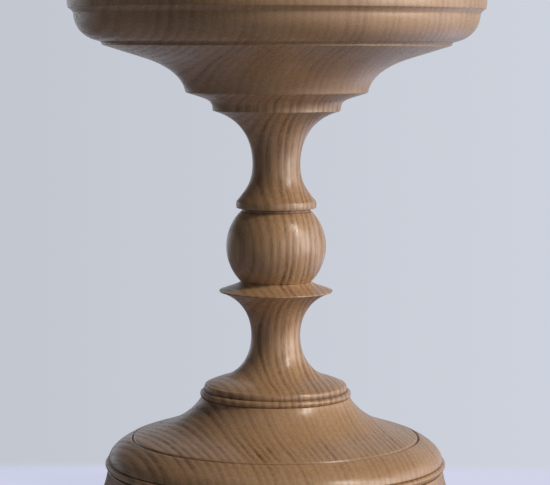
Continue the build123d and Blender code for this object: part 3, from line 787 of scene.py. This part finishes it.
def makeFelt():
    s, lip, clear = felt, felt["lip"], felt["clear"]
    points = traced((s["inner"], lip), [
        ("line", s["inner"] + lip, clear), ("line", s["outer"] - lip, clear), ("line", s["outer"], clear + lip),
        ("line", s["outer"], s["thickness"]), ("line", s["inner"], s["thickness"]), ("line", s["inner"], lip),
    ])
    bm = turned(points, 0.3, 144)
    for vert in bm.verts:    # soft, slightly uneven cut edge and underside
        away = Vector((vert.co.x, vert.co.y, 0)).normalized()
        wave = sum(noise.noise(vert.co / (length * mm)) * depth for length, depth in s["waves"])
        edge = 1 if vert.co.xy.length > s["edgeFrom"] * mm else -1
        if vert.co.z < s["thickness"] * mm - 1e-5:
            vert.co += away * edge * (wave - s["inset"]) * mm
        if vert.co.z < s["underside"] * mm:
            vert.co.z = max(0, vert.co.z + noise.noise(vert.co / (s["fluff"] * mm)) * s["fluffDepth"] * mm)
    piece = finished("feltFoot", bm, feltFinish, "felt_ring", crease=1.2)
    return piece


makeFelt()
print("pieces made")


# camera, light and floor

view = {"lens": 137.45, "distance": 0.85819, "height": 0.19506, "pitch": 5.558, "roll": 0.2, "aside": -0.00045}


def makeCamera():
    data = bpy.data.cameras.new("camera")
    data.lens, data.sensor_width = view["lens"], 36
    data.clip_start, data.clip_end = 0.01, 50
    camera = bpy.data.objects.new("camera", data)
    bpy.context.scene.collection.objects.link(camera)
    turn = Matrix.Rotation(radians(90 - view["pitch"]), 4, "X") @ Matrix.Rotation(radians(view["roll"]), 4, "Z")
    camera.matrix_world = Matrix.Translation((view["aside"], -view["distance"], view["height"])) @ turn
    bpy.context.scene.camera = camera


lamps = {                    # place in m, width and height in m, power in W
    "window": {"place": (0.84, -0.54, 0.9), "size": (0.22, 0.5), "power": 7.5, "colour": "#FFF6EC"},
    "paleWall": {"place": (1.18, -0.47, 0.34), "size": (0.9, 0.9), "power": 9.1, "colour": "#FFF8F0"},
}
lampTarget = Vector((0, 0, 0.11))


def makeLamp(name):
    s = lamps[name]
    place = Vector(s["place"])
    data = bpy.data.lights.new(name, "AREA")
    data.shape = "RECTANGLE"
    data.size, data.size_y = s["size"]
    data.energy, data.color = s["power"], linear(s["colour"])[:3]
    lamp = bpy.data.objects.new(name, data)
    bpy.context.scene.collection.objects.link(lamp)
    facing = (lampTarget - place).to_track_quat("-Z", "Y")
    lamp.matrix_world = Matrix.Translation(place) @ facing.to_matrix().to_4x4()


backdrop = {
    "wall": "#CED2DC", "table": "#D7DBF3", "bounce": "#B9BDD0", "cloth": "#F2F4FC",
    "edge": 0.087, "soften": 0.0135, "reach": 0.9, "fadeFrom": 0.2, "fadeTo": 0.85, "footprint": 0.07,
    "glow": 0.78,                            # share of the floor that the camera sees without shadow
    "left": 0.88, "right": 1.0,              # the backdrop is a little darker on the left
    "ambientFront": 0.08, "ambientBack": 0.30, "ambientLeft": 0.08,
    "glossFront": 0.15, "glossBack": 0.8, "glossSide": 4.1, "glossTop": 0.8, "glossTable": 1.7,
}


def makeWorld():
    world = bpy.data.worlds.new("studio")
    bpy.context.scene.world = world
    world.use_nodes = True
    tree = world.node_tree
    path = addNode(tree, "LightPath").outputs
    seen = addNode(tree, "Math", {"operation": "ADD"},
                   {0: path["Is Camera Ray"], 1: path["Is Transmission Ray"]}).outputs[0]
    way = addNode(tree, "SeparateXYZ", None, {0: addNode(tree, "TexCoord").outputs["Generated"]}).outputs
    behind = addNode(tree, "MapRange", {**smooth, "From Min": -0.3, "From Max": 0.5},
                     {"Value": way[1]}).outputs[0]
    dim = addNode(tree, "MapRange", {"To Min": backdrop["ambientFront"], "To Max": backdrop["ambientBack"]},
                  {"Value": behind}).outputs[0]
    fromLeft = addNode(tree, "MapRange", {**smooth, "From Min": -0.2, "From Max": -0.9,
                                          "To Max": backdrop["ambientLeft"]}, {"Value": way[0]}).outputs[0]
    filled = addNode(tree, "Math", {"operation": "ADD"}, {0: dim, 1: fromLeft}).outputs[0]
    mirrored = addNode(tree, "MapRange", {**smooth, "From Min": 0.45, "From Max": 0.85,
                                          "To Min": backdrop["glossFront"], "To Max": backdrop["glossBack"]},
                       {"Value": way[1]}).outputs[0]
    level = addNode(tree, "Math", {"operation": "ABSOLUTE"}, {0: way[2]}).outputs[0]
    tilted = addNode(tree, "MapRange", {**smooth, "From Min": 0.05, "From Max": 0.32, "To Min": 0.5,
                                        "To Max": -0.75}, {"Value": level}).outputs[0]
    leftward = addNode(tree, "MapRange", {**smooth, "From Min": -0.05, "From Max": -0.42},
                       {"Value": way[0]}).outputs[0]
    kept = addNode(tree, "Math", {"operation": "MULTIPLY_ADD", 2: 1.0}, {0: leftward, 1: tilted}).outputs[0]
    behindWall = addNode(tree, "Math", {"operation": "MULTIPLY"}, {0: mirrored, 1: kept}).outputs[0]
    ahead = addNode(tree, "MapRange", {**smooth, "From Min": 0.25, "From Max": 0.75,
                                       "To Min": backdrop["glossSide"], "To Max": 1.1},
                    {"Value": way[1]}).outputs[0]
    beside = addNode(tree, "MapRange", {"From Min": -0.3, "From Max": 0.8},
                     {"Value": way[0], "To Max": ahead}).outputs[0]
    low = addNode(tree, "MapRange", {**smooth, "From Min": 0.25, "From Max": 0.65, "To Min": 1, "To Max": 0.1},
                  {"Value": way[2]}).outputs[0]
    card = addNode(tree, "Math", {"operation": "MULTIPLY"}, {0: beside, 1: low}).outputs[0]
    overhead = addNode(tree, "MapRange", {**smooth, "From Min": 0.78, "From Max": 0.96,
                                          "To Max": backdrop["glossTop"]}, {"Value": way[2]}).outputs[0]
    sides = addNode(tree, "Math", {"operation": "MAXIMUM"}, {0: behindWall, 1: card}).outputs[0]
    shine = addNode(tree, "Math", {"operation": "MAXIMUM"}, {0: sides, 1: overhead}).outputs[0]
    across = addNode(tree, "MapRange", {"From Min": -0.13, "From Max": 0.13, "To Min": backdrop["left"],
                                        "To Max": backdrop["right"]}, {"Value": way[0]}).outputs[0]
    lit = addNode(tree, "Mix", {"data_type": "FLOAT"},
                  {0: path["Is Glossy Ray"], 2: filled, 3: shine}).outputs[0]
    strength = addNode(tree, "Mix", {"data_type": "FLOAT"}, {0: seen, 2: lit, 3: across}).outputs[0]
    tree.links.new(strength, tree.nodes["Background"].inputs["Strength"])
    tree.nodes["Background"].inputs["Color"].default_value = linear(backdrop["wall"])


def makeFloor():
    bm = bmesh.new()
    bmesh.ops.create_circle(bm, cap_ends=True, segments=96, radius=backdrop["reach"])
    mesh = bpy.data.meshes.new("floor")
    bm.to_mesh(mesh)
    bm.free()
    floor = bpy.data.objects.new("floor", mesh)
    bpy.context.scene.collection.objects.link(floor)
    material, tree, shader = newMaterial("paleFloor")
    mesh.materials.append(material)
    coords = addNode(tree, "TexCoord").outputs["Object"]
    place = addNode(tree, "SeparateXYZ", None, {0: coords}).outputs
    far = addNode(tree, "MapRange", {**smooth, "From Min": backdrop["edge"] - backdrop["soften"],
                                     "From Max": backdrop["edge"] + backdrop["soften"]},
                  {"Value": place[1]}).outputs[0]
    path = addNode(tree, "LightPath").outputs
    cloth = addNode(tree, "Mix", {"data_type": "RGBA", 6: linear(backdrop["bounce"]),
                                  7: linear(backdrop["cloth"])}, {0: path["Is Camera Ray"]}).outputs[2]
    matt = addNode(tree, "BsdfDiffuse", None, {"Color": cloth}).outputs[0]
    beside = addNode(tree, "MapRange", {"From Min": 0.08, "From Max": 0.25, "To Min": 0.2,
                                        "To Max": backdrop["glossTable"]}, {"Value": place[0]}).outputs[0]
    # painted light: the floor's glow is a little stronger on the left, making up for the shade that falls there
    even = addNode(tree, "MapRange", {"From Min": -0.1, "From Max": 0.1, "To Min": 1.08, "To Max": 1.0},
                   {"Value": place[0]}).outputs[0]
    power = addNode(tree, "Mix", {"data_type": "FLOAT"},
                    {0: path["Is Glossy Ray"], 2: even, 3: beside}).outputs[0]
    glow = addNode(tree, "Emission", {"Color": linear(backdrop["table"])}, {"Strength": power}).outputs[0]
    glowing = addNode(tree, "Math", {"operation": "MULTIPLY", 1: backdrop["glow"]},
                      {0: path["Is Camera Ray"]}).outputs[0]
    seen = addNode(tree, "Math", {"operation": "MAXIMUM"}, {0: glowing, 1: path["Is Glossy Ray"]}).outputs[0]
    shaded = addNode(tree, "MixShader", None, {0: seen, 1: matt, 2: glow}).outputs[0]
    reach = addNode(tree, "VectorMath", {"operation": "LENGTH"}, {0: coords}).outputs["Value"]
    fade = addNode(tree, "MapRange", {**smooth, "From Min": backdrop["fadeFrom"],
                                      "From Max": backdrop["fadeTo"]}, {"Value": reach}).outputs[0]
    hidden = addNode(tree, "Math", {"operation": "MULTIPLY"}, {0: far, 1: path["Is Camera Ray"]}).outputs[0]
    under = addNode(tree, "NewGeometry").outputs["Backfacing"]         # seen through from below
    missing = addNode(tree, "Math", {"operation": "MAXIMUM"}, {0: hidden, 1: under}).outputs[0]
    footprint = addNode(tree, "Math", {"operation": "LESS_THAN", 1: backdrop["footprint"]},
                        {0: reach}).outputs[0]
    ended = addNode(tree, "Math", {"operation": "MAXIMUM"}, {0: fade, 1: footprint}).outputs[0]
    gone = addNode(tree, "Math", {"operation": "MAXIMUM"}, {0: ended, 1: missing}).outputs[0]
    clear = addNode(tree, "BsdfTransparent").outputs[0]
    mixed = addNode(tree, "MixShader", None, {0: gone, 1: shaded, 2: clear}).outputs[0]
    tree.links.new(mixed, tree.nodes["Material Output"].inputs["Surface"])


makeCamera()
for lampName in lamps:
    makeLamp(lampName)
makeWorld()
makeFloor()
bpy.context.scene.view_settings.view_transform = "Standard"
print("camera, light and floor set")
